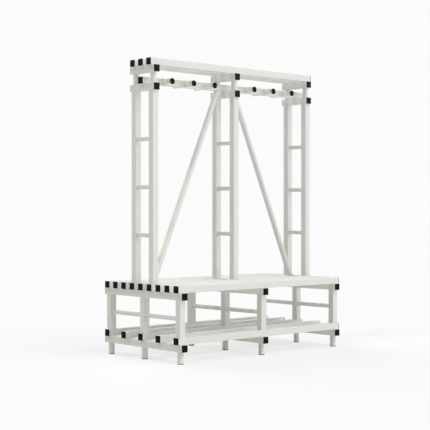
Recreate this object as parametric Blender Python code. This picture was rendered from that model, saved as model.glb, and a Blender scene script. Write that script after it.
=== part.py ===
"""A free-standing changing room bench of white plastic tube.

Three cross frames carry a slatted seat, a shoe shelf, a rail of coat hooks and a hat shelf. The legs
and uprights have round cores that thread the square crossbars and slats and hold the stack together.
X runs along the seat, Y from front to back and Z up, in metres, and the origin is on the floor under
the middle of the bench.
"""

import math

import bmesh
import bpy
from mathutils import Matrix, Vector

# Square tube, which makes the slats, crossbars, hook rail, and the sleeves of legs and uprights
TUBE = 0.040
TUBE_WALL = 0.0015
TUBE_CORNER = 0.002
CORNER_STEPS = 2

# Round pipe, which makes the cores of legs and uprights, the braces and the hooks
SLEEVE_PLAY = 0.0005
PIPE_WALL = 0.002
PIPE_SIDES = 16

# Round rod, which makes the stretchers between legs and the rungs between uprights
ROD = 0.025
ROD_WALL = 0.0018
ROD_SIDES = 12

# Gap left wherever two pieces meet, and the depth to which welded faces melt into each other
FIT_GAP = 0.0003
WELD_BITE = 0.0005
WELD_RING = 0.003

# Bench
FRAME_PITCH = 0.640
SLAT_PITCH = 0.080
SEAT_SLATS = 9
SHELF_SLATS = 5
SLAT_OVERHANG = 0.0115
BENCH_OVERHANG = 0.015
FOOT_HEIGHT = 0.070
FOOT_PLUG = 0.004
LEG_LENGTH = 0.210

# Coat stand over the seat
UPRIGHT_LENGTH = 1.122
RUNGS = 3
HOOKS_PER_BAY = 3
HOOK_REACH = 0.066
RAIL_HEADROOM = 0.0247
HAT_SLATS = 3
HAT_PITCH = 0.075
HAT_OVERHANG = 0.008
BRACE_HEAD = 0.050
BRACE_FOOT = 0.041

# Half widths and radii of the sections
HALF = TUBE / 2
BORE_HALF = HALF - TUBE_WALL
PIPE_RADIUS = BORE_HALF - SLEEVE_PLAY
PIPE_BORE = PIPE_RADIUS - PIPE_WALL
ROD_RADIUS = ROD / 2

# Middle height of each layer, and the ends of the legs and uprights between them, from the floor up
SHELF_BAR_Z = FOOT_HEIGHT + HALF
SHELF_SLAT_Z = SHELF_BAR_Z + TUBE + FIT_GAP
LEG_FOOT_Z = SHELF_SLAT_Z + HALF + FIT_GAP
LEG_HEAD_Z = LEG_FOOT_Z + LEG_LENGTH
SEAT_BAR_Z = LEG_HEAD_Z + FIT_GAP + HALF
SEAT_SLAT_Z = SEAT_BAR_Z + TUBE + FIT_GAP
UPRIGHT_FOOT_Z = SEAT_SLAT_Z + HALF + FIT_GAP
UPRIGHT_HEAD_Z = UPRIGHT_FOOT_Z + UPRIGHT_LENGTH
HOOK_BAR_Z = UPRIGHT_HEAD_Z + FIT_GAP + HALF
HOOK_RAIL_Z = HOOK_BAR_Z + TUBE + FIT_GAP
HAT_BAR_Z = HOOK_RAIL_Z + TUBE + RAIL_HEADROOM
HAT_SLAT_Z = HAT_BAR_Z + TUBE - WELD_BITE

# Heights at which the round cores end, inside the crossbars that hold them
LEG_CORE_HEAD = SEAT_BAR_Z + BORE_HALF - FIT_GAP
UPRIGHT_CORE_FOOT = SEAT_BAR_Z - BORE_HALF + FIT_GAP
UPRIGHT_CORE_HEAD = HAT_BAR_Z + BORE_HALF - FIT_GAP


def row(count, pitch):
    """Places of so many slats, evenly spaced about the middle."""
    return [(i - (count - 1) / 2) * pitch for i in range(count)]


# Places along X and Y
FRAMES = {"left": -FRAME_PITCH, "middle": 0.0, "right": FRAME_PITCH}
SEAT_Y = row(SEAT_SLATS, SLAT_PITCH)
SHELF_Y = row(SHELF_SLATS, (SEAT_Y[-1] - SEAT_Y[0]) / (SHELF_SLATS - 1))
HAT_Y = row(HAT_SLATS, HAT_PITCH)
LEGS = {"front": SEAT_Y[0], "centre": 0.0, "rear": SEAT_Y[-1]}
UPRIGHTS = {"front": -SLAT_PITCH, "rear": SLAT_PITCH}
BRACES = {"left": -1, "right": 1}
BRACE_Y = 0.0
SLAT_END = FRAME_PITCH + HALF + SLAT_OVERHANG
BENCH_END = SEAT_Y[-1] + HALF + BENCH_OVERHANG
HAT_END = max(SLAT_PITCH, HAT_Y[-1]) + HALF + HAT_OVERHANG
HOOK_PITCH = SLAT_END / (HOOKS_PER_BAY + 1)
HOOK_END = HALF + HOOK_REACH

# Heights of the rods over the foot of the leg or upright that they sit in
STRETCHER_RISE = LEG_LENGTH / 2
RUNG_RISES = [UPRIGHT_LENGTH * (i + 1) / (RUNGS + 1) for i in range(RUNGS)]

SMOOTH_ANGLE = math.radians(50)
MERGE = 0.000001


def clear_scene():
    """Remove every object that the scene holds."""
    for item in list(bpy.data.objects):
        bpy.data.objects.remove(item, do_unlink=True)


def new_collection(name):
    """A collection under the scene's own."""
    collection = bpy.data.collections.new(name)
    bpy.context.scene.collection.children.link(collection)
    return collection


def plastic(name, colour, roughness):
    """A plain extruded plastic."""
    material = bpy.data.materials.new(name)
    material.use_nodes = True
    shader = material.node_tree.nodes["Principled BSDF"]
    shader.inputs["Base Color"].default_value = (*colour, 1.0)
    shader.inputs["Roughness"].default_value = roughness
    shader.inputs["Metallic"].default_value = 0.0
    return material


def rounded_square(half, corner):
    """Points of a square whose corners are rounded to arcs."""
    points = []
    for quarter in range(4):
        turn = quarter * math.pi / 2
        reach = (half - corner) * math.sqrt(2)
        for step in range(CORNER_STEPS + 1):
            angle = turn + step / CORNER_STEPS * math.pi / 2
            x = reach * math.cos(turn + math.pi / 4) + corner * math.cos(angle)
            y = reach * math.sin(turn + math.pi / 4) + corner * math.sin(angle)
            points.append((x, y))
    return points


def square(half):
    """Corners of a square."""
    return [(half, half), (-half, half), (-half, -half), (half, -half)]


def circle(radius, sides):
    """Points of a circle, the first one on +X."""
    angles = [2 * math.pi * i / sides for i in range(sides)]
    return [(radius * math.cos(angle), radius * math.sin(angle)) for angle in angles]


SQUARE_TUBE = (rounded_square(HALF, TUBE_CORNER), square(BORE_HALF))
ROUND_PIPE = (circle(PIPE_RADIUS, PIPE_SIDES), circle(PIPE_BORE, PIPE_SIDES))
ROUND_ROD = (circle(ROD_RADIUS, ROD_SIDES), circle(ROD_RADIUS - ROD_WALL, ROD_SIDES))


def evaluated_mesh(holder):
    """The finished mesh of an object with a curve or modifiers, which is then removed."""
    depsgraph = bpy.context.evaluated_depsgraph_get()
    mesh = bpy.data.meshes.new_from_object(holder.evaluated_get(depsgraph))
    mesh.name = holder.name
    bpy.data.objects.remove(holder, do_unlink=True)
    return mesh


def extruded(name, section, low, high):
    """A section, given by its outlines, extruded along Z from low to high as a closed mesh."""
    curve = bpy.data.curves.new(name, "CURVE")
    curve.dimensions = "2D"
    curve.fill_mode = "BOTH"
    curve.extrude = (high - low) / 2
    for outline in section:
        spline = curve.splines.new("POLY")
        spline.points.add(len(outline) - 1)
        spline.use_cyclic_u = True
        for point, (x, y) in zip(spline.points, outline):
            point.co = (x, y, 0.0, 1.0)
    holder = bpy.data.objects.new(name, curve)
    bpy.context.scene.collection.objects.link(holder)
    mesh = evaluated_mesh(holder)
    bpy.data.curves.remove(curve)
    shape = bmesh.new()
    shape.from_mesh(mesh)
    bmesh.ops.remove_doubles(shape, verts=shape.verts, dist=MERGE)
    bmesh.ops.recalc_face_normals(shape, faces=shape.faces)
    bmesh.ops.translate(shape, verts=shape.verts, vec=(0, 0, (low + high) / 2))
    shape.to_mesh(mesh)
    shape.free()
    return mesh


def along(start, end):
    """The matrix that puts +Z on the line from start to end, with its origin at the start."""
    start, end = Vector(start), Vector(end)
    turn = Vector((0, 0, 1)).rotation_difference(end - start)
    return Matrix.Translation(start) @ turn.to_matrix().to_4x4()


def span(start, end):
    """The length of the line from start to end."""
    return (Vector(end) - Vector(start)).length


def joined(name, meshes):
    """Several meshes as one, each where it is."""
    shape = bmesh.new()
    for mesh in meshes:
        shape.from_mesh(mesh)
        bpy.data.meshes.remove(mesh)
    mesh = bpy.data.meshes.new(name)
    shape.to_mesh(mesh)
    shape.free()
    return mesh


def lengths(name, section, runs):
    """Straight lengths of a section along the given lines, in one mesh."""
    pieces = []
    for start, end in runs:
        piece = extruded(name, section, 0.0, span(start, end))
        piece.transform(along(start, end))
        pieces.append(piece)
    return joined(name, pieces)


def cylinders(name, radius, sides, runs):
    """Solid cylinders along the given lines, in one mesh."""
    shape = bmesh.new()
    for start, end in runs:
        length = span(start, end)
        place = along(start, end) @ Matrix.Translation((0, 0, length / 2))
        bmesh.ops.create_cone(shape, cap_ends=True, segments=sides, radius1=radius, radius2=radius,
                              depth=length, matrix=place)
    mesh = bpy.data.meshes.new(name)
    shape.to_mesh(mesh)
    shape.free()
    return mesh


def tool(name, mesh):
    """A shape that only cuts or joins, and isn't part of the bench."""
    item = bpy.data.objects.new(name, mesh)
    CUTTERS.objects.link(item)
    item.hide_render = True
    item.display_type = "WIRE"
    return item


def boolean(item, operation, other):
    """Join the other object to an item, or cut it out of the item."""
    modifier = item.modifiers.new(other.name, "BOOLEAN")
    modifier.operation = operation
    modifier.solver = "EXACT"
    modifier.object = other


def worked(name, mesh, steps):
    """A mesh after Boolean steps, each an operation and the mesh that it joins or cuts."""
    holder = bpy.data.objects.new(name, mesh)
    bpy.context.scene.collection.objects.link(holder)
    others = [(operation, tool(f"{name}_{operation}", other)) for operation, other in steps]
    for operation, other in others:
        boolean(holder, operation, other)
    result = evaluated_mesh(holder)
    for _, other in others:
        bpy.data.objects.remove(other, do_unlink=True)
    return result


def add_part(name, mesh, material, place=None):
    """One named sub-part of the bench, shaded smooth round its curves."""
    if not mesh.materials:
        mesh.materials.append(material)
    mesh.shade_smooth()
    mesh.set_sharp_from_angle(angle=SMOOTH_ANGLE)
    part = bpy.data.objects.new(name, mesh)
    BENCH.objects.link(part)
    part.parent = ORIGIN
    if place is not None:
        part.location, part.rotation_euler = place.to_translation(), place.to_euler()
    return part


def straight(name, section, start, end, material):
    """One straight length of tube, pipe or rod."""
    mesh = extruded(name, section, 0.0, span(start, end))
    return add_part(name, mesh, material, along(start, end))


def level(x, end, z):
    """The line across the bench at x and z, as far as end on both sides."""
    return (x, -end, z), (x, end, z)


def long(y, z):
    """The line along the bench at y and z."""
    return (-SLAT_END, y, z), (SLAT_END, y, z)


def brace_line(side):
    """The line of one brace, from inside the middle seat slat to inside the hook rail."""
    foot = Vector((side * (FRAME_PITCH - HALF - BRACE_FOOT), BRACE_Y, SEAT_SLAT_Z + HALF))
    head = Vector((side * (HALF + BRACE_HEAD), BRACE_Y, HOOK_RAIL_Z - HALF))
    line = (head - foot).normalized()
    dip = PIPE_RADIUS * abs(line.x)
    depth = (TUBE - TUBE_WALL - FIT_GAP - dip) / line.z
    return foot - line * depth, head + line * depth


def hook_lines():
    """The lines of the hooks, which divide the rail evenly on both sides of the middle frame."""
    places = [side * (i + 1) * HOOK_PITCH for side in (-1, 1) for i in range(HOOKS_PER_BAY)]
    return [level(x, HOOK_END, HOOK_RAIL_Z) for x in sorted(places)]


def core_lines(stops, foot, head):
    """The upright lines of the cores at the given places across each frame."""
    return [((x, y, foot), (x, y, head)) for x in FRAMES.values() for y in stops.values()]


def pipe_bores(name, lines):
    """Holes that let the round pipe through along the given lines."""
    return tool(name, cylinders(name, PIPE_RADIUS + FIT_GAP, PIPE_SIDES, lines))


def build_bores():
    """The families of round holes that the cores, hooks and braces pass through."""
    return {
        "leg": pipe_bores("leg_bores", core_lines(LEGS, FOOT_PLUG, LEG_CORE_HEAD)),
        "upright": pipe_bores("upright_bores", core_lines(UPRIGHTS, UPRIGHT_CORE_FOOT, UPRIGHT_CORE_HEAD)),
        "hook": pipe_bores("hook_bores", hook_lines()),
        "brace": pipe_bores("brace_bores", [brace_line(side) for side in BRACES.values()]),
    }


def cut(part, *tools):
    """Cut the given families of holes in a part."""
    for other in tools:
        boolean(part, "DIFFERENCE", other)


def threaded(y, places):
    """Whether a slat at y lies on any of the given places across the bench."""
    return any(abs(y - place) < HALF for place in places)


def build_slats(holes):
    """The seat slats, the shelf slats and the hook rail."""
    for number, y in enumerate(SEAT_Y, 1):
        slat = straight(f"seat_slat_{number}", SQUARE_TUBE, *long(y, SEAT_SLAT_Z), WHITE_TUBE)
        if threaded(y, UPRIGHTS.values()):
            cut(slat, holes["upright"])
        if threaded(y, [BRACE_Y]):
            cut(slat, holes["brace"])
    for number, y in enumerate(SHELF_Y, 1):
        slat = straight(f"shelf_slat_{number}", SQUARE_TUBE, *long(y, SHELF_SLAT_Z), WHITE_TUBE)
        if threaded(y, LEGS.values()):
            cut(slat, holes["leg"])
    rail = straight("hook_rail", SQUARE_TUBE, *long(BRACE_Y, HOOK_RAIL_Z), WHITE_TUBE)
    cut(rail, holes["hook"], holes["brace"])


def build_crossbars(holes):
    """The crossbars of each frame under the shelf, the seat and the hook rail."""
    layers = {
        "shelf": (BENCH_END, SHELF_BAR_Z, ["leg"]),
        "seat": (BENCH_END, SEAT_BAR_Z, ["leg", "upright"]),
        "hook": (HAT_END, HOOK_BAR_Z, ["upright"]),
    }
    for frame, x in FRAMES.items():
        for layer, (end, z, families) in layers.items():
            bar = straight(f"{frame}_{layer}_crossbar", SQUARE_TUBE, *level(x, end, z), WHITE_TUBE)
            cut(bar, *[holes[family] for family in families])


def build_hat_shelf(holes):
    """The hat shelf, one rack of slats welded across three crossbars."""
    bars = lengths("hat_bars", SQUARE_TUBE, [level(x, HAT_END, HAT_BAR_Z) for x in FRAMES.values()])
    slats = lengths("hat_slats", SQUARE_TUBE, [long(y, HAT_SLAT_Z) for y in HAT_Y])
    rack = worked("hat_shelf", bars, [("UNION", slats)])
    cut(add_part("hat_shelf", rack, WHITE_TUBE), holes["upright"])


def cored_sleeve(name, length, core_foot, core_head, bore_foot, sockets, through):
    """A square sleeve from Z = 0 to its length on a round core, welded by a ring at its head.

    The rods sit in round sockets through the wall at +Y, or pass right through sleeve and core.
    """
    def rods(heights, reach):
        lines = [((0, -reach, z), (0, TUBE, z)) for z in heights]
        return cylinders(name, ROD_RADIUS + FIT_GAP, ROD_SIDES, lines)

    ring = (square(BORE_HALF + WELD_BITE),)
    sleeve = extruded(name, SQUARE_TUBE, 0.0, length)
    core = cylinders(name, PIPE_RADIUS, PIPE_SIDES, [((0, 0, core_foot), (0, 0, core_head))])
    bore = cylinders(name, PIPE_BORE, PIPE_SIDES, [((0, 0, bore_foot), (0, 0, core_head + TUBE))])
    steps = [("DIFFERENCE", rods(sockets, 0.0))] if sockets else []
    steps += [("UNION", extruded(name, ring, length - WELD_RING, length)), ("UNION", core)]
    steps += [("DIFFERENCE", bore)]
    steps += [("DIFFERENCE", rods(through, TUBE))] if through else []
    return worked(name, sleeve, steps)


def build_legs():
    """The legs, from their plugged feet to the seat crossbars."""
    feet = -LEG_FOOT_Z, LEG_CORE_HEAD - LEG_FOOT_Z, FOOT_PLUG - LEG_FOOT_Z
    outer = cored_sleeve("outer_leg", LEG_LENGTH, *feet, [STRETCHER_RISE], [])
    centre = cored_sleeve("centre_leg", LEG_LENGTH, *feet, [], [STRETCHER_RISE])
    for frame, x in FRAMES.items():
        for place, y in LEGS.items():
            turn = Matrix.Rotation(math.pi if place == "rear" else 0.0, 4, "Z")
            spot = Matrix.Translation((x, y, LEG_FOOT_Z)) @ turn
            add_part(f"{frame}_{place}_leg", centre if place == "centre" else outer, WHITE_TUBE, spot)


def build_uprights():
    """The uprights, from inside the seat crossbars to inside the hat shelf's crossbars."""
    low, high = UPRIGHT_CORE_FOOT - UPRIGHT_FOOT_Z, UPRIGHT_CORE_HEAD - UPRIGHT_FOOT_Z
    upright = cored_sleeve("upright", UPRIGHT_LENGTH, low, high, low - TUBE, RUNG_RISES, [])
    for frame, x in FRAMES.items():
        for place, y in UPRIGHTS.items():
            turn = Matrix.Rotation(math.pi if place == "rear" else 0.0, 4, "Z")
            spot = Matrix.Translation((x, y, UPRIGHT_FOOT_Z)) @ turn
            add_part(f"{frame}_{place}_upright", upright, WHITE_TUBE, spot)


def build_rods():
    """The stretchers through the centre legs and the rungs between the uprights."""
    seat = PIPE_RADIUS + FIT_GAP
    for frame, x in FRAMES.items():
        stretcher = level(x, LEGS["rear"] - seat, LEG_FOOT_Z + STRETCHER_RISE)
        straight(f"{frame}_stretcher", ROUND_ROD, *stretcher, WHITE_PIPE)
        for number, rise in enumerate(RUNG_RISES, 1):
            rung = level(x, SLAT_PITCH - seat, UPRIGHT_FOOT_Z + rise)
            straight(f"{frame}_rung_{number}", ROUND_ROD, *rung, WHITE_PIPE)


def build_pipes():
    """The two braces and the hooks."""
    for name, side in BRACES.items():
        straight(f"{name}_brace", ROUND_PIPE, *brace_line(side), WHITE_PIPE)
    for number, line in enumerate(hook_lines(), 1):
        straight(f"coat_hook_{number}", ROUND_PIPE, *line, WHITE_PIPE)


clear_scene()
BENCH = new_collection("changing_room_bench")
CUTTERS = new_collection("cutters")
ORIGIN = bpy.data.objects.new("bench_origin", None)
BENCH.objects.link(ORIGIN)
WHITE_TUBE = plastic("white_square_tube", (0.80, 0.80, 0.78), 0.42)
WHITE_PIPE = plastic("white_round_pipe", (0.80, 0.80, 0.78), 0.36)
HOLES = build_bores()
build_slats(HOLES)
build_crossbars(HOLES)
build_hat_shelf(HOLES)
build_legs()
build_uprights()
build_rods()
build_pipes()
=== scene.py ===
"""The finished look of a changing room bench of white plastic tube, in metres with +Z up.

Every member is drawn again at the place and size of its solid, with rounded edges, bored holes,
moulded end caps and plugs, and it stands in a plain pale studio.
"""

import math

import bmesh
import bpy
from mathutils import Matrix, Vector


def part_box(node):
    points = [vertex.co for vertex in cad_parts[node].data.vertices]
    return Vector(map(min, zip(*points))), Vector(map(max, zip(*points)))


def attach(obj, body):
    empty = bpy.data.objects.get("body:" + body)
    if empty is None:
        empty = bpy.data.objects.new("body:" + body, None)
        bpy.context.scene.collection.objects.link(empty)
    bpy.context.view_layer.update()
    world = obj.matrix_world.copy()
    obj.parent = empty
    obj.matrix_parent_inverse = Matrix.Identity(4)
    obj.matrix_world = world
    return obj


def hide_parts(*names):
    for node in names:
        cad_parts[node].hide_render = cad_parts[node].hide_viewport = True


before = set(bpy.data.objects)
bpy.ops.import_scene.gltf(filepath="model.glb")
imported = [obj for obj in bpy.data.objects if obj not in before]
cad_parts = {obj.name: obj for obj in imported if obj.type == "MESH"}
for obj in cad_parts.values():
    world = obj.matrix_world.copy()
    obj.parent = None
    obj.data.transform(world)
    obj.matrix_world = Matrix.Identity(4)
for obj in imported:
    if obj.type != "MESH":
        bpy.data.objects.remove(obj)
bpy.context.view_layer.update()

# Names of the frames along the bench, of the members of a frame, and of the ends of the level tubes
FRAMES = ("left", "middle", "right")
LAYERS = ("shelf", "seat", "hook")
LEGS = ("front", "centre", "rear")
UPRIGHTS = ("front", "rear")
LONG_ENDS = ("left", "right")
CROSS_ENDS = ("front", "rear")

# Gap between pieces that meet, and the walls of the extrusions
FIT_GAP = 0.0003
TUBE_WALL = 0.0015
PIPE_WALL = 0.002
ROD_WALL = 0.0018

# Rounded edges, sides of the round sections, and the angle up to which faces shade as one
TUBE_CORNER = 0.002
CORNER_SEGMENTS = 6
PIPE_SEGMENTS = 64
ROD_SEGMENTS = 48
RIM_RADIUS = 0.0005
RIM_SEGMENTS = 3
SMOOTH_ANGLE = math.radians(35)

# Length too short to count, share that counts as a full match, and digits that tell points apart
SLIVER = 0.000002
NEAR = 0.99
POINT_DIGITS = 5

# End caps of the square tube and plugs of the round pipe
CAP_FLANGE = 0.0035
HOOK_PLUG_FLANGE = 0.0025
FOOT_PLUG_FLANGE = 0.0037
EDGE_RADIUS = 0.0009
EDGE_SEGMENTS = 4
CROWN_RISE = 0.0004
CROWN_STEPS = 8
DISH_RIM = 0.0015
DISH_DEPTH = 0.0018
DISH_STEPS = 6
SKIRT_PLAY = 0.0003
SKIRT_CORNER = 0.0005
SKIRT_DEPTH = 0.012
SKIRT_WALL = 0.0016

# Hat shelf: how far apart its slats lie, and their names
HAT_PITCH = 0.075
HAT_SLATS = ("front", "middle", "rear")

# Plastics: two colours to drift between, range of roughness, relief's strength and height, specular level
WHITE = {"colours": ((0.800, 0.790, 0.752), (0.830, 0.822, 0.790)),
         "roughness": (0.50, 0.62), "relief": (0.12, 0.0002), "specular": 0.5}
BLACK = {"colours": ((0.0024, 0.0023, 0.0020), (0.0046, 0.0044, 0.0039)),
         "roughness": (0.26, 0.38), "relief": (0.25, 0.0002), "specular": 0.06}
GREY = {"colours": ((0.060, 0.060, 0.062), (0.095, 0.095, 0.097)),
        "roughness": (0.55, 0.75), "relief": (0.25, 0.0002), "specular": 0.3}

# Patterns in the skin of the plastics: scale, detail and roughness
CLOUDS = (11.0, 3.0, 0.5)
LINES = (1.0, 4.0, 0.6)
PORES = (1500.0, 2.0, 0.5)
GRAIN = (2200.0, 3.0, 0.5)
RUBS = (60.0, 5.0, 0.65)

# Shares in which the patterns mix, and the part of a pattern that is stretched to the full range
LINES_IN_TONE = 0.35
CLOUDS_IN_GLOSS = 0.5
PORES_IN_HEIGHT = 0.3
GRAIN_IN_GLOSS = 0.4
MIDDLE_PART = (0.3, 0.7)
RUBBED_PART = (0.35, 0.75)
FULL_RANGE = (0.0, 1.0)

# Lines of the extrusion: how close they lie across the run, and how long they are along it
LINES_ACROSS = 420.0
LINES_ALONG = 1.5

# Places of the two colours and of their mix among the sockets of a Mix node
FIRST_COLOUR, SECOND_COLOUR, MIXED_COLOUR = 6, 7, 2

# Camera: its place in metres, its turn and its tilt from level in degrees, and its lens in millimetres
EYE = (-4.764, -5.144, 0.858)
YAW = 42.279
LEVEL = 90.0
PITCH = -0.157
LENS = 94.417

# Studio: where each broad lamp stands, its strength, spread and colour, and a floor that shows white
LAMPS = {
    "front_right": ((0.70, -0.70, 0.30), 1.60, 60.0, (1.0, 1.0, 1.0)),
    "front_top": ((0.00, -0.60, 0.80), 1.12, 30.0, (1.0, 1.0, 1.0)),
    "rear_top": ((0.00, 0.70, 0.70), 1.62, 50.0, (0.95, 1.0, 1.1)),
    "left_top": ((-0.60, 0.00, 0.80), 0.93, 15.0, (1.0, 0.98, 0.80)),
}
WHITE_LEVEL = 0.965
FLOOR_SIZE = 400.0
FLOOR_BOUNCE = 0.80
FLOOR_SHOWN = 0.35

AXES = "xyz"
UP = Vector((0, 0, 1))
SCENE = bpy.context.scene


def bottom_of(node):
    """The height of a solid's lowest level."""
    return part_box(node)[0].z


def top_of(node):
    """The height of a solid's highest level."""
    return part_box(node)[1].z


def middle_of(node):
    """The middle of a solid's box."""
    low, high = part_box(node)
    return (low + high) / 2


def numbered(prefix):
    """The solids whose names start the same, in order."""
    return sorted(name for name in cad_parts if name.startswith(prefix))


def pipe_ends(node):
    """The middles of the two end faces of a round solid, from low to high along its run."""
    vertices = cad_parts[node].data.vertices
    points = {tuple(round(value, POINT_DIGITS) for value in vertex.co) for vertex in vertices}
    low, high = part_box(node)
    axis = max(range(3), key=lambda i: high[i] - low[i])
    order = sorted((Vector(point) for point in points), key=lambda point: point[axis])
    half = len(order) // 2
    return sum(order[:half], Vector()) / half, sum(order[half:], Vector()) / half


def core_ends(node):
    """The ends of the round core of a leg or upright."""
    middle = middle_of(node)
    return [Vector((middle.x, middle.y, level)) for level in (bottom_of(node), top_of(node))]


def end_middles(low, high):
    """The middles of the two end faces of the box from low to high, along its longest side."""
    middle, size = (low + high) / 2, high - low
    axis = max(range(3), key=lambda i: size[i])
    ends = []
    for corner in (low, high):
        point = middle.copy()
        point[axis] = corner[axis]
        ends.append(point)
    return ends


# Sections of the extrusions, from the solids
TUBE = top_of("seat_slat_1") - bottom_of("seat_slat_1")
PIPE_RADIUS = (top_of("coat_hook_1") - bottom_of("coat_hook_1")) / 2
ROD_RADIUS = (top_of("left_stretcher") - bottom_of("left_stretcher")) / 2

# Solids of each kind
SLATS = numbered("seat_slat") + numbered("shelf_slat") + ["hook_rail"]
CROSSBARS = [f"{place}_{layer}_crossbar" for place in FRAMES for layer in LAYERS]
LEG_NODES = [f"{place}_{leg}_leg" for place in FRAMES for leg in LEGS]
UPRIGHT_NODES = [f"{place}_{upright}_upright" for place in FRAMES for upright in UPRIGHTS]
RODS = [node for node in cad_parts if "stretcher" in node or "rung" in node]
HOOKS = numbered("coat_hook")
BRACES = ["left_brace", "right_brace"]

# Bores that the pipes and rods need in what they run through: start, end and radius
PIPE_BORES = [(*core_ends(node), PIPE_RADIUS) for node in LEG_NODES + UPRIGHT_NODES]
PIPE_BORES += [(*pipe_ends(node), PIPE_RADIUS) for node in HOOKS + BRACES]
ROD_BORES = [(*pipe_ends(node), ROD_RADIUS) for node in RODS]


def along(start, end):
    """The matrix that puts +Z on the line from start to end, with its origin at the start."""
    return Matrix.Translation(start) @ UP.rotation_difference(end - start).to_matrix().to_4x4()


def to_mesh(name, shape):
    """A finished shape as a mesh."""
    mesh = bpy.data.meshes.new(name)
    shape.to_mesh(mesh)
    shape.free()
    return mesh


def add_cylinder(shape, start, end, radius, segments):
    """Add a solid cylinder from start to end to a shape."""
    length = (end - start).length
    place = along(start, end) @ Matrix.Translation((0, 0, length / 2))
    bmesh.ops.create_cone(shape, cap_ends=True, segments=segments, radius1=radius, radius2=radius,
                          depth=length, matrix=place)


def round_edges(shape, edges, radius, segments):
    """Round the given edges of a shape."""
    bmesh.ops.bevel(shape, geom=list(edges), offset=radius, offset_type="OFFSET", affect="EDGES",
                    segments=segments, profile=0.5, material=-1)


def faces_along(shape, direction):
    """The faces of a shape that look along a direction."""
    shape.normal_update()
    return [face for face in shape.faces if face.normal.dot(direction) > NEAR]


def end_faces(shape, run):
    """The faces at the two ends of a shape that runs along a direction."""
    return faces_along(shape, run) + faces_along(shape, -run)


def hollow_out(shape, ends, wall):
    """Turn a bar into a tube: its two end faces become rims, and a wall joins them inside."""
    bmesh.ops.inset_region(shape, faces=ends, thickness=wall, use_even_offset=True)
    loops = [edge for face in ends for edge in face.edges]
    bmesh.ops.delete(shape, geom=ends, context="FACES_ONLY")
    bmesh.ops.bridge_loops(shape, edges=loops)
    bmesh.ops.recalc_face_normals(shape, faces=shape.faces)


def square_tube(name, low, high):
    """A hollow square tube that fills the box from low to high."""
    size = high - low
    run = Vector([float(length == max(size)) for length in size])
    shape = bmesh.new()
    place = Matrix.Translation((low + high) / 2) @ Matrix.Diagonal((*size, 1))
    bmesh.ops.create_cube(shape, size=1, matrix=place)
    long_edges = [edge for edge in shape.edges
                  if abs((edge.verts[1].co - edge.verts[0].co).normalized().dot(run)) > NEAR]
    round_edges(shape, long_edges, TUBE_CORNER, CORNER_SEGMENTS)
    hollow_out(shape, end_faces(shape, run), TUBE_WALL)
    return to_mesh(name, shape)


def round_pipe(name, start, end, radius, wall, segments, rim=0.0):
    """A hollow round pipe from start to end, whose outer rims may be rounded."""
    run = (end - start).normalized()
    shape = bmesh.new()
    add_cylinder(shape, start, end, radius, segments)
    if rim:
        rims = [edge for face in end_faces(shape, run) for edge in face.edges]
        round_edges(shape, rims, rim, RIM_SEGMENTS)
    hollow_out(shape, end_faces(shape, run), wall)
    return to_mesh(name, shape)


def drill(bores):
    """Solid cylinders along the given bores, each a start, an end and a radius."""
    shape = bmesh.new()
    for start, end, radius in bores:
        add_cylinder(shape, start, end, radius + FIT_GAP, PIPE_SEGMENTS)
    return to_mesh("drill", shape)


def meets(bore, low, high):
    """Whether a bore reaches into the box from low to high."""
    start, end, radius = bore
    return all(min(start[i], end[i]) - radius < high[i] and max(start[i], end[i]) + radius > low[i]
               for i in range(3))


def bored(mesh, low, high, bores):
    """A mesh in the box from low to high after the bores that reach it are cut out."""
    chosen = [bore for bore in bores if meets(bore, low, high)]
    if not chosen:
        return mesh
    blank = bpy.data.objects.new(mesh.name, mesh)
    cutter = bpy.data.objects.new("cutter", drill(chosen))
    for item in (blank, cutter):
        SCENE.collection.objects.link(item)
    holes = blank.modifiers.new("holes", "BOOLEAN")
    holes.operation = "DIFFERENCE"
    holes.solver = "EXACT"
    holes.object = cutter
    finished = blank.evaluated_get(bpy.context.evaluated_depsgraph_get())
    result = bpy.data.meshes.new_from_object(finished)
    for item in (blank, cutter):
        bpy.data.objects.remove(item, do_unlink=True)
    shape = bmesh.new()
    shape.from_mesh(result)
    bmesh.ops.dissolve_degenerate(shape, edges=shape.edges, dist=SLIVER)
    return to_mesh(mesh.name, shape)


def pushed(shape, face, distance):
    """Extrude one face along its normal and return the face at the far end."""
    step = face.normal * distance
    far = bmesh.ops.extrude_discrete_faces(shape, faces=[face])["faces"][0]
    bmesh.ops.translate(shape, verts=far.verts, vec=step)
    return far


def lowest_face(shape):
    """The face of a shape that looks down from its lowest level."""
    return min(faces_along(shape, -UP), key=lambda face: face.calc_center_median().z)


def add_skirt(shape, seat_margin):
    """Give the back of a stopper's flange a hollow skirt that fits inside the tube."""
    back = lowest_face(shape)
    bmesh.ops.inset_region(shape, faces=[back], thickness=seat_margin, use_even_offset=True)
    tip = pushed(shape, back, SKIRT_DEPTH)
    bmesh.ops.remove_doubles(shape, verts=tip.verts, dist=SKIRT_CORNER)
    tip = lowest_face(shape)
    bmesh.ops.inset_region(shape, faces=[tip], thickness=SKIRT_WALL, use_even_offset=True)
    pushed(shape, lowest_face(shape), -SKIRT_DEPTH)


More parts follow.
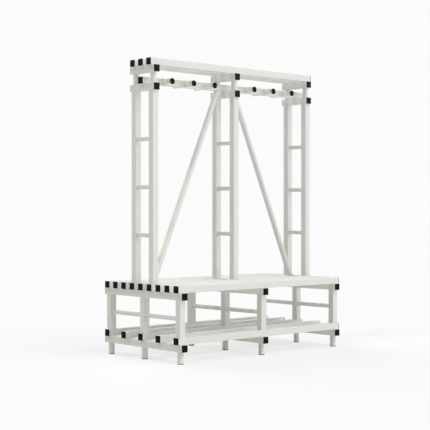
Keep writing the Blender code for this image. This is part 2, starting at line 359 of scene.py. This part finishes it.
def square_cap():
    """A moulded cap for the square tube: a crowned flange on the tube's end at Z = 0, and a skirt."""
    half = TUBE / 2
    front = FIT_GAP + CAP_FLANGE
    shape = bmesh.new()
    bmesh.ops.create_grid(shape, x_segments=CROWN_STEPS, y_segments=CROWN_STEPS, size=half)
    for vert in shape.verts:
        crown = (1 - (vert.co.x / half) ** 2) * (1 - (vert.co.y / half) ** 2)
        vert.co.z = front + CROWN_RISE * crown
    rim = [edge for edge in shape.edges if edge.is_boundary]
    for item in bmesh.ops.extrude_edge_only(shape, edges=rim)["geom"]:
        if isinstance(item, bmesh.types.BMVert):
            item.co.z = FIT_GAP
    bmesh.ops.holes_fill(shape, edges=[edge for edge in shape.edges if edge.is_boundary])
    bmesh.ops.recalc_face_normals(shape, faces=shape.faces)
    corners = [edge for edge in shape.edges
               if all(abs(vert.co.x * vert.co.y) > NEAR * half * half for vert in edge.verts)]
    round_edges(shape, corners, TUBE_CORNER, CORNER_SEGMENTS)
    rim = [edge for edge in shape.edges
           if all(abs(vert.co.z - front) < SLIVER for vert in edge.verts)]
    round_edges(shape, rim, EDGE_RADIUS, EDGE_SEGMENTS)
    add_skirt(shape, TUBE_WALL + SKIRT_PLAY)
    return to_mesh("square_cap", shape)


def add_dish(shape, radius):
    """Give the front of a round flange a plain rim and a shallow round dish inside it."""
    face = faces_along(shape, UP)[0]
    rim = face.calc_perimeter() / math.tau - radius
    bmesh.ops.inset_region(shape, faces=[face], thickness=rim)
    depths = [DISH_DEPTH * (1 - (ring / DISH_STEPS) ** 2) for ring in range(DISH_STEPS, 0, -1)]
    for before, after in zip(depths, depths[1:]):
        bmesh.ops.inset_region(shape, faces=[face], thickness=radius / DISH_STEPS)
        bmesh.ops.translate(shape, verts=face.verts, vec=UP * (before - after))


def round_plug(flange, dished):
    """A moulded plug for the round pipe: a flange on the pipe's end at Z = 0, and a skirt."""
    shape = bmesh.new()
    add_cylinder(shape, UP * FIT_GAP, UP * (FIT_GAP + flange), PIPE_RADIUS, PIPE_SEGMENTS)
    round_edges(shape, faces_along(shape, UP)[0].edges, EDGE_RADIUS, EDGE_SEGMENTS)
    if dished:
        add_dish(shape, PIPE_RADIUS - DISH_RIM)
    add_skirt(shape, PIPE_WALL + SKIRT_PLAY)
    return to_mesh("round_plug", shape)


def new_node(tree, kind, **settings):
    """A node of the given kind with its properties set."""
    item = tree.nodes.new(kind)
    for key, value in settings.items():
        setattr(item, key, value)
    return item


def noise(tree, vector, scale, detail, roughness):
    """A noise pattern on the given coordinates, from 0 to 1."""
    item = new_node(tree, "ShaderNodeTexNoise")
    item.inputs["Scale"].default_value = scale
    item.inputs["Detail"].default_value = detail
    item.inputs["Roughness"].default_value = roughness
    tree.links.new(vector, item.inputs["Vector"])
    return item.outputs["Fac"]


def blended(tree, first, second, share):
    """Two patterns mixed, with the given share of the second."""
    item = new_node(tree, "ShaderNodeMix", data_type="FLOAT")
    item.inputs["Factor"].default_value = share
    tree.links.new(first, item.inputs["A"])
    tree.links.new(second, item.inputs["B"])
    return item.outputs["Result"]


def stretched(tree, value, part, target):
    """A pattern of which one part is stretched to a target range."""
    item = new_node(tree, "ShaderNodeMapRange")
    item.inputs["From Min"].default_value, item.inputs["From Max"].default_value = part
    item.inputs["To Min"].default_value, item.inputs["To Max"].default_value = target
    tree.links.new(value, item.inputs["Value"])
    return item.outputs["Result"]


def new_group(name, vectors, outputs):
    """An empty shader group with vector inputs and value outputs, and its inner ends."""
    group = bpy.data.node_groups.new(name, "ShaderNodeTree")
    for label in vectors:
        group.interface.new_socket(label, in_out="INPUT", socket_type="NodeSocketVector")
    for label in outputs:
        group.interface.new_socket(label, in_out="OUTPUT", socket_type="NodeSocketFloat")
    return group, group.nodes.new("NodeGroupInput"), group.nodes.new("NodeGroupOutput")


def extruded_skin():
    """The skin of an extrusion: soft clouds, fine lines drawn along its run, and pores."""
    group, given, made = new_group("extruded_skin", ("Point", "Run"), ("Tone", "Gloss", "Height"))
    clouds = noise(group, given.outputs["Point"], *CLOUDS)
    lines = noise(group, given.outputs["Run"], *LINES)
    pores = noise(group, given.outputs["Point"], *PORES)
    tone = stretched(group, blended(group, clouds, lines, LINES_IN_TONE), MIDDLE_PART, FULL_RANGE)
    gloss = stretched(group, blended(group, lines, clouds, CLOUDS_IN_GLOSS), MIDDLE_PART, FULL_RANGE)
    group.links.new(tone, made.inputs["Tone"])
    group.links.new(gloss, made.inputs["Gloss"])
    group.links.new(blended(group, lines, pores, PORES_IN_HEIGHT), made.inputs["Height"])
    return group


def moulded_skin():
    """The skin of a moulding: a fine even grain, with faint rubbed patches."""
    group, given, made = new_group("moulded_skin", ("Point",), ("Tone", "Gloss", "Height"))
    grain = noise(group, given.outputs["Point"], *GRAIN)
    rubs = noise(group, given.outputs["Point"], *RUBS)
    tone = stretched(group, rubs, RUBBED_PART, FULL_RANGE)
    gloss = stretched(group, blended(group, rubs, grain, GRAIN_IN_GLOSS), MIDDLE_PART, FULL_RANGE)
    group.links.new(tone, made.inputs["Tone"])
    group.links.new(gloss, made.inputs["Gloss"])
    group.links.new(grain, made.inputs["Height"])
    return group


def new_material(name, skin, plastic, run=None, turn=(0, 0, 0)):
    """A plastic whose colour, roughness and surface follow a skin group.

    The skin's Run input, where it has one, reads the coordinates turned and then drawn out by run.
    """
    material = bpy.data.materials.new(name)
    material.use_nodes = True
    tree = material.node_tree
    shader = tree.nodes["Principled BSDF"]
    shader.inputs["Specular IOR Level"].default_value = plastic["specular"]
    point = new_node(tree, "ShaderNodeTexCoord").outputs["Object"]
    surface = new_node(tree, "ShaderNodeGroup", node_tree=skin)
    tree.links.new(point, surface.inputs["Point"])
    if run:
        mapping = new_node(tree, "ShaderNodeMapping")
        mapping.inputs["Rotation"].default_value = turn
        mapping.inputs["Scale"].default_value = run
        tree.links.new(point, mapping.inputs["Vector"])
        tree.links.new(mapping.outputs["Vector"], surface.inputs["Run"])
    tint = new_node(tree, "ShaderNodeMix", data_type="RGBA")
    for socket, colour in zip((FIRST_COLOUR, SECOND_COLOUR), plastic["colours"]):
        tint.inputs[socket].default_value = (*colour, 1)
    tree.links.new(surface.outputs["Tone"], tint.inputs["Factor"])
    tree.links.new(tint.outputs[MIXED_COLOUR], shader.inputs["Base Color"])
    roughness = stretched(tree, surface.outputs["Gloss"], FULL_RANGE, plastic["roughness"])
    tree.links.new(roughness, shader.inputs["Roughness"])
    relief = new_node(tree, "ShaderNodeBump")
    strength, height = plastic["relief"]
    relief.inputs["Strength"].default_value = strength
    relief.inputs["Distance"].default_value = height
    tree.links.new(surface.outputs["Height"], relief.inputs["Height"])
    tree.links.new(relief.outputs["Normal"], shader.inputs["Normal"])
    return material


def white_along(axis, skin, turn=(0, 0, 0)):
    """The white plastic of an extrusion that runs along one axis."""
    run = [LINES_ALONG if letter == axis else LINES_ACROSS for letter in AXES]
    name = "white_along_" + axis + ("_turned" if any(turn) else "")
    return new_material(name, skin, WHITE, run, turn)


# Finishes
EXTRUDED = extruded_skin()
MOULDED = moulded_skin()
WHITE_ALONG = {axis: white_along(axis, EXTRUDED) for axis in AXES}
BLACK_CAP = new_material("black_moulding", MOULDED, BLACK)
GREY_FOOT = new_material("grey_moulding", MOULDED, GREY)

# Mouldings that are copied to every end
CAP = square_cap()
HOOK_PLUG = round_plug(HOOK_PLUG_FLANGE, True)
FOOT_PLUG = round_plug(FOOT_PLUG_FLANGE, False)


def add_piece(name, mesh, material, node=None):
    """One piece of the bench, which may stand for a solid."""
    mesh.materials.clear()
    mesh.materials.append(material)
    mesh.shade_smooth()
    mesh.set_sharp_from_angle(angle=SMOOTH_ANGLE)
    piece = bpy.data.objects.new(name, mesh)
    SCENE.collection.objects.link(piece)
    weighted = piece.modifiers.new("even_flats", "WEIGHTED_NORMAL")
    weighted.keep_sharp = True
    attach(piece, "root")
    if node:
        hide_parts(node)


def add_stopper(name, master, start, end, material, slot):
    """A copy of a cap or plug on the end of the line from start to end."""
    mesh = master.copy()
    mesh.transform(along(start, end) @ Matrix.Translation((0, 0, (end - start).length)))
    add_piece(name, mesh, material)


def build_capped_tube(name, low, high, ends, node):
    """A level square tube with its bored holes and a cap on each end."""
    axis = "x" if ends is LONG_ENDS else "y"
    mesh = bored(square_tube(name, low, high), low, high, PIPE_BORES)
    add_piece(f"{name}_tube", mesh, WHITE_ALONG[axis], node)
    first, last = end_middles(low, high)
    for end, line in zip(ends, ((last, first), (first, last))):
        add_stopper(f"{name}_{end}_cap", CAP, *line, BLACK_CAP, "black_cap")


def build_level_tubes():
    """The slats, the hook rail and the crossbars."""
    for node in SLATS:
        build_capped_tube(node, *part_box(node), LONG_ENDS, node)
    for node in CROSSBARS:
        build_capped_tube(node, *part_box(node), CROSS_ENDS, node)


def build_hat_shelf():
    """The hat shelf's three slats on their crossbars."""
    low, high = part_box("hat_shelf")
    half = TUBE / 2
    for number, place in enumerate(HAT_SLATS):
        y = (number - len(HAT_SLATS) // 2) * HAT_PITCH
        corners = Vector((low.x, y - half, high.z - TUBE)), Vector((high.x, y + half, high.z))
        build_capped_tube(f"hat_slat_{place}", *corners, LONG_ENDS, "hat_shelf")
    top = high.z - TUBE - FIT_GAP
    for place in FRAMES:
        x = middle_of(f"{place}_hook_crossbar").x
        corners = Vector((x - half, low.y, low.z)), Vector((x + half, high.y, top))
        build_capped_tube(f"{place}_hat_crossbar", *corners, CROSS_ENDS, "hat_shelf")


def build_sleeved(node, foot, head, core_foot):
    """A leg or upright: a square sleeve from foot to head on a round core, whose ends are returned."""
    low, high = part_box(node)
    low.z, high.z = foot + FIT_GAP, head - FIT_GAP
    sleeve = bored(square_tube(node, low, high), low, high, ROD_BORES)
    add_piece(f"{node}_sleeve", sleeve, WHITE_ALONG["z"], node)
    start, end = core_ends(node)
    start.z += core_foot
    core = round_pipe(node, start, end, PIPE_RADIUS, PIPE_WALL, PIPE_SEGMENTS)
    corner = Vector((PIPE_RADIUS, PIPE_RADIUS, 0))
    core = bored(core, start - corner, end + corner, ROD_BORES)
    add_piece(f"{node}_core", core, WHITE_ALONG["z"], node)
    return start, end


def build_legs():
    """The legs, each on a plugged foot."""
    foot = top_of("shelf_slat_1")
    head = bottom_of("left_seat_crossbar")
    for node in LEG_NODES:
        start, end = build_sleeved(node, foot, head, FIT_GAP + FOOT_PLUG_FLANGE)
        plug = node.replace("leg", "foot_plug")
        add_stopper(plug, FOOT_PLUG, end, start, GREY_FOOT, "grey_foot")


def build_uprights():
    """The uprights of the coat stand."""
    foot = top_of("seat_slat_1")
    head = bottom_of("left_hook_crossbar")
    for node in UPRIGHT_NODES:
        build_sleeved(node, foot, head, 0.0)


def build_rods():
    """The stretchers and rungs."""
    for node in RODS:
        rod = round_pipe(node, *pipe_ends(node), ROD_RADIUS, ROD_WALL, ROD_SEGMENTS)
        add_piece(f"{node}_rod", rod, WHITE_ALONG["y"], node)


def build_braces():
    """The two braces, whose extrusion lines follow their lean."""
    for node in BRACES:
        start, end = pipe_ends(node)
        lean = math.atan2(end.x - start.x, end.z - start.z)
        plastic = white_along("z", EXTRUDED, (0, -lean, 0))
        pipe = round_pipe(node, start, end, PIPE_RADIUS, PIPE_WALL, PIPE_SEGMENTS)
        add_piece(f"{node}_pipe", pipe, plastic, node)


def build_hooks():
    """The coat hooks, plugged at both ends."""
    for node in HOOKS:
        front, rear = pipe_ends(node)
        pipe = round_pipe(node, front, rear, PIPE_RADIUS, PIPE_WALL, PIPE_SEGMENTS, RIM_RADIUS)
        add_piece(f"{node}_pipe", pipe, WHITE_ALONG["y"], node)
        add_stopper(f"{node}_front_plug", HOOK_PLUG, rear, front, BLACK_CAP, "black_cap")
        add_stopper(f"{node}_rear_plug", HOOK_PLUG, front, rear, BLACK_CAP, "black_cap")


def seen_or_mirrored(tree):
    """1 for rays from the camera, from a reflection or through glass, and 0 for other rays."""
    path = new_node(tree, "ShaderNodeLightPath")
    total = path.outputs["Is Camera Ray"]
    for label in ("Is Glossy Ray", "Is Transmission Ray"):
        either = new_node(tree, "ShaderNodeMath", operation="MAXIMUM")
        tree.links.new(total, either.inputs[0])
        tree.links.new(path.outputs[label], either.inputs[1])
        total = either.outputs["Value"]
    return total


def floor_light(channel):
    """What the lamps bring to a white level floor in one colour channel."""
    return sum(strength * colour[channel] * Vector(source).normalized().z
               for source, strength, _, colour in LAMPS.values()) / math.pi


def matt(tree, share):
    """A matt grey surface that gives back the given share of light."""
    item = new_node(tree, "ShaderNodeBsdfDiffuse")
    item.inputs["Color"].default_value = (share, share, share, 1)
    return item.outputs["BSDF"]


def either_shader(tree, choice, plain, chosen):
    """One shader where a choice is 0 and another where it is 1."""
    item = new_node(tree, "ShaderNodeMixShader")
    tree.links.new(choice, item.inputs["Fac"])
    tree.links.new(plain, item.inputs[1])
    tree.links.new(chosen, item.inputs[2])
    return item.outputs["Shader"]


def build_floor():
    """A pale floor that bounces light, shows white with a soft shadow, and is clear from below."""
    shape = bmesh.new()
    bmesh.ops.create_grid(shape, x_segments=1, y_segments=1, size=FLOOR_SIZE / 2)
    floor = bpy.data.objects.new("floor", to_mesh("floor", shape))
    SCENE.collection.objects.link(floor)
    material = bpy.data.materials.new("studio_floor")
    material.use_nodes = True
    tree = material.node_tree
    tree.nodes.remove(tree.nodes["Principled BSDF"])
    glow = new_node(tree, "ShaderNodeEmission")
    lift = [WHITE_LEVEL - FLOOR_SHOWN * floor_light(channel) for channel in range(3)]
    glow.inputs["Color"].default_value = (*lift, 1)
    white = new_node(tree, "ShaderNodeAddShader")
    tree.links.new(matt(tree, FLOOR_SHOWN), white.inputs[0])
    tree.links.new(glow.outputs["Emission"], white.inputs[1])
    top = either_shader(tree, seen_or_mirrored(tree), matt(tree, FLOOR_BOUNCE),
                        white.outputs["Shader"])
    from_below = new_node(tree, "ShaderNodeNewGeometry").outputs["Backfacing"]
    clear = new_node(tree, "ShaderNodeBsdfTransparent").outputs["BSDF"]
    surface = either_shader(tree, from_below, top, clear)
    tree.links.new(surface, tree.nodes["Material Output"].inputs["Surface"])
    floor.data.materials.append(material)


def build_light():
    """A dark sky that shows white, and the broad soft lamps."""
    world = bpy.data.worlds.new("studio")
    SCENE.world = world
    world.use_nodes = True
    tree = world.node_tree
    sky = tree.nodes["Background"]
    sky.inputs["Color"].default_value = (0, 0, 0, 1)
    white = new_node(tree, "ShaderNodeBackground")
    white.inputs["Color"].default_value = (WHITE_LEVEL, WHITE_LEVEL, WHITE_LEVEL, 1)
    shown = either_shader(tree, seen_or_mirrored(tree), sky.outputs["Background"],
                          white.outputs["Background"])
    tree.links.new(shown, tree.nodes["World Output"].inputs["Surface"])
    for name, (source, strength, spread, colour) in LAMPS.items():
        light = bpy.data.lights.new(name, "SUN")
        light.energy = strength
        light.color = colour
        light.angle = math.radians(spread)
        lamp = bpy.data.objects.new(name, light)
        lamp.rotation_euler = Vector(source).to_track_quat("Z", "Y").to_euler()
        SCENE.collection.objects.link(lamp)


def build_camera():
    """The camera at the height and angle of the picture."""
    data = bpy.data.cameras.new("view")
    data.lens = LENS
    camera = bpy.data.objects.new("view", data)
    camera.location = EYE
    camera.rotation_euler = (math.radians(LEVEL + PITCH), 0, math.radians(-YAW))
    SCENE.collection.objects.link(camera)
    SCENE.camera = camera


SCENE.view_settings.view_transform = "Standard"
build_camera()
build_light()
build_floor()
build_level_tubes()
build_hat_shelf()
build_legs()
build_uprights()
build_rods()
build_braces()
build_hooks()
